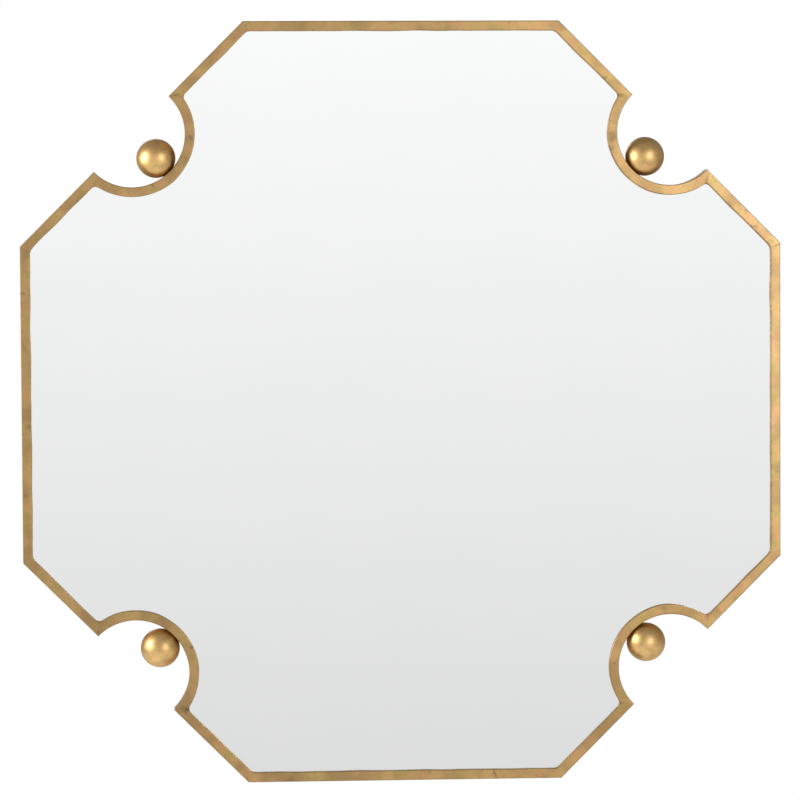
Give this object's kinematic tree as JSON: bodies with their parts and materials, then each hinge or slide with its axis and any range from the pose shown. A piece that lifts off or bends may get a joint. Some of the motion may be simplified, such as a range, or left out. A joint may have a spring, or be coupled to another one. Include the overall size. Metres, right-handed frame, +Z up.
{
  "type": "octagonal wall mirror",
  "caption": "Octagonal wall mirror in a thin gilded iron frame, with a gold ball set in a half-round notch on each diagonal side; keyhole hangers behind.",
  "frame": {"origin": "on the wall, behind the middle of the glass", "axes": "+Y points into the wall, so the glass faces -Y; +Z is up; +X is to the right as seen from the front"},
  "size_m": [0.9906, 0.0525, 0.9906],
  "materials": {
    "gilded_iron": "antique gold leaf over iron, satin, with darker rubbed edges",
    "gilded_ball": "antique gold leaf over a steel ball, satin",
    "silvered_glass": "plain silvered mirror, no bevel",
    "painted_board": "fibreboard painted black, matt",
    "bare_iron": "black primer on iron, matt",
    "zinc_steel": "zinc-plated steel, satin",
    "plain_steel": "plain steel",
    "black_rubber": "moulded black rubber, matt"
  },
  "bodies": {
    "mirror": {"top_bar": "gilded_iron", "right_bar": "gilded_iron", "bottom_bar": "gilded_iron", "left_bar": "gilded_iron", "top_right_upper_bar": "gilded_iron", "top_right_lower_bar": "gilded_iron", "bottom_right_upper_bar": "gilded_iron", "bottom_right_lower_bar": "gilded_iron", "bottom_left_upper_bar": "gilded_iron", "bottom_left_lower_bar": "gilded_iron", "top_left_upper_bar": "gilded_iron", "top_left_lower_bar": "gilded_iron", "top_right_scallop": "gilded_iron", "bottom_right_scallop": "gilded_iron", "bottom_left_scallop": "gilded_iron", "top_left_scallop": "gilded_iron", "top_right_ball": "gilded_ball", "bottom_right_ball": "gilded_ball", "bottom_left_ball": "gilded_ball", "top_left_ball": "gilded_ball", "ball_dowels": "plain_steel", "mirror_glass": "silvered_glass", "backing_panel": "painted_board", "pivot_screws": "zinc_steel", "bumper_screws": "zinc_steel", "keeper_lugs": "bare_iron", "hanger_left": "bare_iron", "hanger_right": "bare_iron", "bumper_top_right": "black_rubber", "bumper_bottom_right": "black_rubber", "bumper_bottom_left": "black_rubber", "bumper_top_left": "black_rubber"},
    "button_top_left": {"turn_button_top_left": "zinc_steel"},
    "button_top_right": {"turn_button_top_right": "zinc_steel"},
    "button_right_upper": {"turn_button_right_upper": "zinc_steel"},
    "button_right_lower": {"turn_button_right_lower": "zinc_steel"},
    "button_bottom_right": {"turn_button_bottom_right": "zinc_steel"},
    "button_bottom_left": {"turn_button_bottom_left": "zinc_steel"},
    "button_left_lower": {"turn_button_left_lower": "zinc_steel"},
    "button_left_upper": {"turn_button_left_upper": "zinc_steel"}
  },
  "joints": [
    {"name": "button_top_left_turn", "type": "hinge", "parent": "mirror", "child": "button_top_left", "pos_m": [-0.08, -0.0234, 0.47162], "axis": [0, 1, 0], "range_deg": [-90, 90]},
    {"name": "button_top_right_turn", "type": "hinge", "parent": "mirror", "child": "button_top_right", "pos_m": [0.08, -0.0234, 0.47162], "axis": [0, 1, 0], "range_deg": [-90, 90]},
    {"name": "button_right_upper_turn", "type": "hinge", "parent": "mirror", "child": "button_right_upper", "pos_m": [0.47162, -0.0234, 0.08], "axis": [0, 1, 0], "range_deg": [-90, 90]},
    {"name": "button_right_lower_turn", "type": "hinge", "parent": "mirror", "child": "button_right_lower", "pos_m": [0.47162, -0.0234, -0.08], "axis": [0, 1, 0], "range_deg": [-90, 90]},
    {"name": "button_bottom_right_turn", "type": "hinge", "parent": "mirror", "child": "button_bottom_right", "pos_m": [0.08, -0.0234, -0.47162], "axis": [0, 1, 0], "range_deg": [-90, 90]},
    {"name": "button_bottom_left_turn", "type": "hinge", "parent": "mirror", "child": "button_bottom_left", "pos_m": [-0.08, -0.0234, -0.47162], "axis": [0, 1, 0], "range_deg": [-90, 90]},
    {"name": "button_left_lower_turn", "type": "hinge", "parent": "mirror", "child": "button_left_lower", "pos_m": [-0.47162, -0.0234, -0.08], "axis": [0, 1, 0], "range_deg": [-90, 90]},
    {"name": "button_left_upper_turn", "type": "hinge", "parent": "mirror", "child": "button_left_upper", "pos_m": [-0.47162, -0.0234, 0.08], "axis": [0, 1, 0], "range_deg": [-90, 90]}
  ]
}
